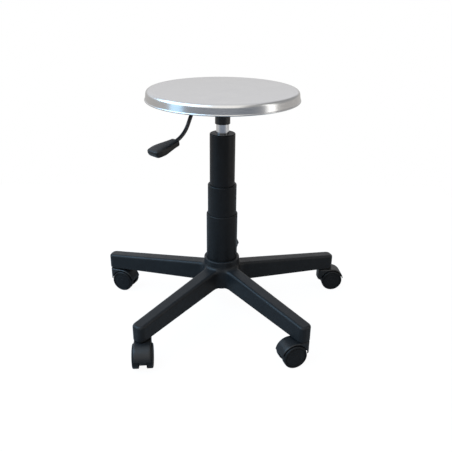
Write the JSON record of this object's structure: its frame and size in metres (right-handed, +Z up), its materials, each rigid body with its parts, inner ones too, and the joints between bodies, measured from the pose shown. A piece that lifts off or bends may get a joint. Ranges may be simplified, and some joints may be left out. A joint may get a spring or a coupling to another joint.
{
  "type": "rolling stool",
  "caption": "Backless rolling stool: round satin steel seat, gas-lift column with telescopic cover and release lever, spoked base on twin-wheel casters.",
  "frame": {"origin": "point of the floor under the column's axis", "axes": "+Z up along the column; +Y towards the rear spoke; the release lever points to -X -Y"},
  "size_m": [0.6001, 0.5772, 0.527],
  "materials": {
    "seat_steel": "satin stainless",
    "bright_tube": "polished",
    "base_nylon": "fine moulded texture",
    "cover_plastic": "fine moulded texture",
    "caster_nylon": "fine moulded texture",
    "wheel_nylon": "satin moulded",
    "grip_plastic": "satin moulded",
    "lever_steel": "black coating",
    "black_steel": "black powder coat",
    "tube_steel": "black coating",
    "zinc_steel": "zinc plated",
    "guide_acetal": "natural acetal",
    "bumper_rubber": "matt",
    "valve_brass": "turned"
  },
  "bodies": {
    "base": {"base_star": "base_nylon", "column_tube": "tube_steel", "guide_sleeve": "guide_acetal", "bearing_lower_washer": "zinc_steel", "cover_lower": "cover_plastic", "stem_grip_rings": "zinc_steel", "caster_rear_stem": "zinc_steel", "caster_left_stem": "zinc_steel", "caster_front_left_stem": "zinc_steel", "caster_front_right_stem": "zinc_steel", "caster_right_stem": "zinc_steel"},
    "rod": {"piston_rod": "zinc_steel", "piston": "zinc_steel", "bearing_upper_washer": "zinc_steel", "bearing_balls": "zinc_steel", "rod_bumper": "bumper_rubber", "rod_washer": "zinc_steel", "rod_retaining_clip": "zinc_steel"},
    "seat": {"gas_cylinder": "bright_tube", "cylinder_rod_guide": "guide_acetal", "valve_body": "valve_brass", "taper_socket": "black_steel", "seat_plate": "black_steel", "lever_bracket": "black_steel", "lever_pivot_pin": "zinc_steel", "pivot_pin_clips": "zinc_steel", "seat_stiffener": "zinc_steel", "seat_studs": "zinc_steel", "seat_washers": "zinc_steel", "seat_nuts": "zinc_steel", "seat_pan": "seat_steel"},
    "lever": {"lever_rod": "lever_steel", "lever_grip": "grip_plastic", "lever_pivot_block": "cover_plastic"},
    "release_pin": {"release_pin": "zinc_steel"},
    "cover_upper": {"cover_upper": "cover_plastic"},
    "cover_middle": {"cover_middle": "cover_plastic"},
    "caster_rear": {"caster_rear_hood": "caster_nylon", "caster_rear_axle": "zinc_steel"},
    "caster_rear_wheel_left": {"caster_rear_wheel_left": "wheel_nylon"},
    "caster_rear_wheel_right": {"caster_rear_wheel_right": "wheel_nylon"},
    "caster_left": {"caster_left_hood": "caster_nylon", "caster_left_axle": "zinc_steel"},
    "caster_left_wheel_left": {"caster_left_wheel_left": "wheel_nylon"},
    "caster_left_wheel_right": {"caster_left_wheel_right": "wheel_nylon"},
    "caster_front_left": {"caster_front_left_hood": "caster_nylon", "caster_front_left_axle": "zinc_steel"},
    "caster_front_left_wheel_left": {"caster_front_left_wheel_left": "wheel_nylon"},
    "caster_front_left_wheel_right": {"caster_front_left_wheel_right": "wheel_nylon"},
    "caster_front_right": {"caster_front_right_hood": "caster_nylon", "caster_front_right_axle": "zinc_steel"},
    "caster_front_right_wheel_left": {"caster_front_right_wheel_left": "wheel_nylon"},
    "caster_front_right_wheel_right": {"caster_front_right_wheel_right": "wheel_nylon"},
    "caster_right": {"caster_right_hood": "caster_nylon", "caster_right_axle": "zinc_steel"},
    "caster_right_wheel_left": {"caster_right_wheel_left": "wheel_nylon"},
    "caster_right_wheel_right": {"caster_right_wheel_right": "wheel_nylon"}
  },
  "joints": [
    {"name": "seat_swivel", "type": "hinge", "parent": "base", "child": "rod", "pos_m": [0, 0, 0.062], "axis": [0, 0, 1], "continuous": true},
    {"name": "seat_height", "type": "slide", "parent": "rod", "child": "seat", "axis": [0, 0, 1], "range_m": [-0.112, 0.018]},
    {"name": "lever_lift", "type": "hinge", "parent": "seat", "child": "lever", "pos_m": [-0.02014, -0.01945, 0.4983], "axis": [-0.6947, 0.7193, 0], "range_deg": [0, 7], "stiffness_Nm_per_rad": 8, "springref_deg": -8.59},
    {"name": "release_pin_travel", "type": "slide", "parent": "seat", "child": "release_pin", "axis": [0, 0, -1], "range_m": [0, 0.0036]},
    {"name": "cover_upper_slide", "type": "slide", "parent": "base", "child": "cover_upper", "axis": [0, 0, 1], "range_m": [-0.112, 0.018]},
    {"name": "cover_middle_slide", "type": "slide", "parent": "base", "child": "cover_middle", "axis": [0, 0, 1], "range_m": [-0.056, 0.009]},
    {"name": "caster_rear_swivel", "type": "hinge", "parent": "base", "child": "caster_rear", "pos_m": [0, 0.279, 0.05], "axis": [0, 0, 1], "continuous": true},
    {"name": "caster_rear_left_spin", "type": "hinge", "parent": "caster_rear", "child": "caster_rear_wheel_left", "pos_m": [0.01807, 0.27313, 0.026], "axis": [0.309, 0.9511, 0], "continuous": true},
    {"name": "caster_rear_right_spin", "type": "hinge", "parent": "caster_rear", "child": "caster_rear_wheel_right", "pos_m": [0.01807, 0.27313, 0.026], "axis": [0.309, 0.9511, 0], "continuous": true},
    {"name": "caster_left_swivel", "type": "hinge", "parent": "base", "child": "caster_left", "pos_m": [-0.26534, 0.08622, 0.05], "axis": [0, 0, 1], "continuous": true},
    {"name": "caster_left_left_spin", "type": "hinge", "parent": "caster_left", "child": "caster_left_wheel_left", "pos_m": [-0.24749, 0.07972, 0.026], "axis": [0.342, 0.9397, 0], "continuous": true},
    {"name": "caster_left_right_spin", "type": "hinge", "parent": "caster_left", "child": "caster_left_wheel_right", "pos_m": [-0.24749, 0.07972, 0.026], "axis": [0.342, 0.9397, 0], "continuous": true},
    {"name": "caster_front_left_swivel", "type": "hinge", "parent": "base", "child": "caster_front_left", "pos_m": [-0.16399, -0.22572, 0.05], "axis": [0, 0, 1], "continuous": true},
    {"name": "caster_front_left_left_spin", "type": "hinge", "parent": "caster_front_left", "child": "caster_front_left_wheel_left", "pos_m": [-0.16267, -0.24467, 0.026], "axis": [0.9976, 0.0698, 0], "continuous": true},
    {"name": "caster_front_left_right_spin", "type": "hinge", "parent": "caster_front_left", "child": "caster_front_left_wheel_right", "pos_m": [-0.16267, -0.24467, 0.026], "axis": [0.9976, 0.0698, 0], "continuous": true},
    {"name": "caster_front_right_swivel", "type": "hinge", "parent": "base", "child": "caster_front_right", "pos_m": [0.16399, -0.22572, 0.05], "axis": [0, 0, 1], "continuous": true},
    {"name": "caster_front_right_left_spin", "type": "hinge", "parent": "caster_front_right", "child": "caster_front_right_wheel_left", "pos_m": [0.14603, -0.2319, 0.026], "axis": [0.3256, -0.9455, 0], "continuous": true},
    {"name": "caster_front_right_right_spin", "type": "hinge", "parent": "caster_front_right", "child": "caster_front_right_wheel_right", "pos_m": [0.14603, -0.2319, 0.026], "axis": [0.3256, -0.9455, 0], "continuous": true},
    {"name": "caster_right_swivel", "type": "hinge", "parent": "base", "child": "caster_right", "pos_m": [0.26534, 0.08622, 0.05], "axis": [0, 0, 1], "continuous": true},
    {"name": "caster_right_left_spin", "type": "hinge", "parent": "caster_right", "child": "caster_right_wheel_left", "pos_m": [0.2843, 0.08754, 0.026], "axis": [-0.0698, 0.9976, 0], "continuous": true},
    {"name": "caster_right_right_spin", "type": "hinge", "parent": "caster_right", "child": "caster_right_wheel_right", "pos_m": [0.2843, 0.08754, 0.026], "axis": [-0.0698, 0.9976, 0], "continuous": true}
  ],
  "couplings": [
    {"joint": "release_pin_travel", "follows": "lever_lift", "m_per_rad": 0.028},
    {"joint": "cover_upper_slide", "follows": "seat_height", "ratio": 1},
    {"joint": "cover_middle_slide", "follows": "seat_height", "ratio": 0.5}
  ]
}
